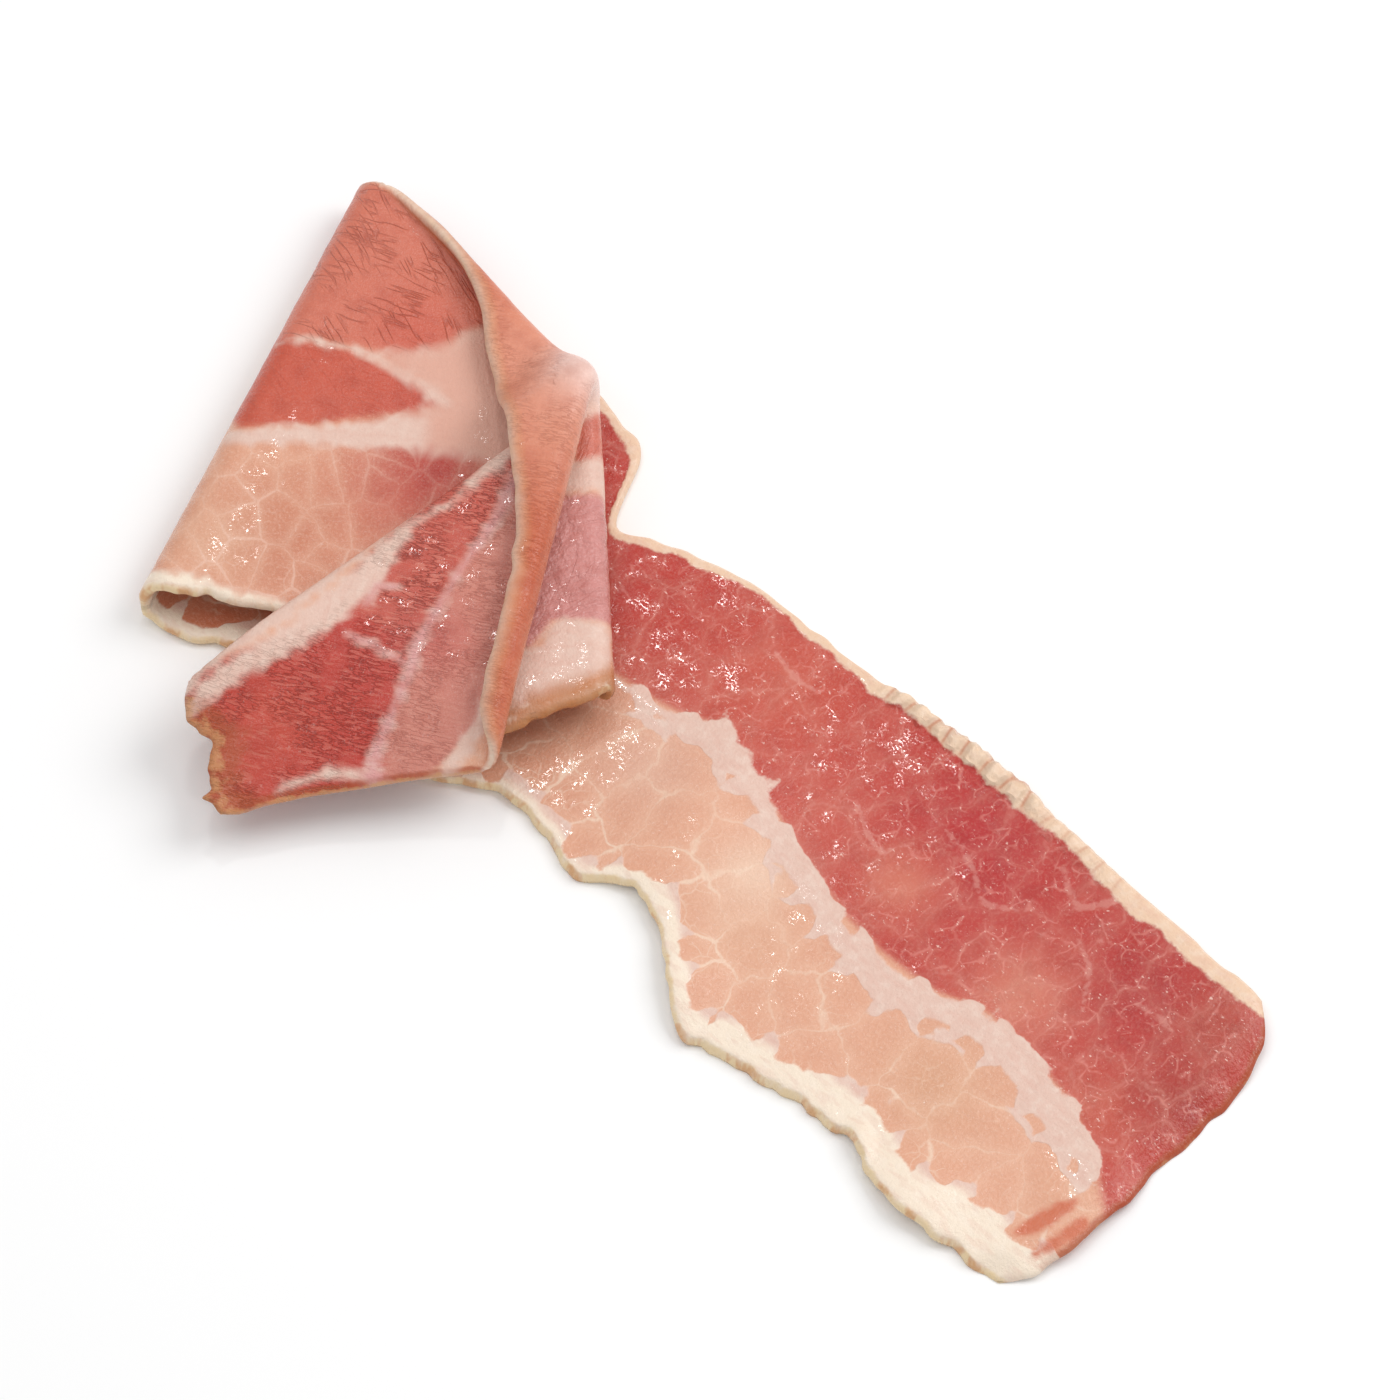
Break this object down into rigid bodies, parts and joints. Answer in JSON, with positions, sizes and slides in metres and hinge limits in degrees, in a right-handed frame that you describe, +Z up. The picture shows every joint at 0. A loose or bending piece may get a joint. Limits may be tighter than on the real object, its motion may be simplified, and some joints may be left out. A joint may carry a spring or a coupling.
{
  "type": "bacon rasher",
  "caption": "Raw bacon rasher lying flat along its tail, with its broad end rolled back on top and pleated to one side; lean, marbled fat and a pale rind edge.",
  "frame": {"origin": "centre of the bounding box at the level of the table", "axes": "+X along the rasher towards its flat tail end, +Y towards the lean rim, +Z up from the table"},
  "size_m": [0.1632, 0.0768, 0.0141],
  "materials": {
    "meat": "satin"
  },
  "bodies": {
    "root": {"bacon_rasher": "meat"}
  },
  "joints": []
}
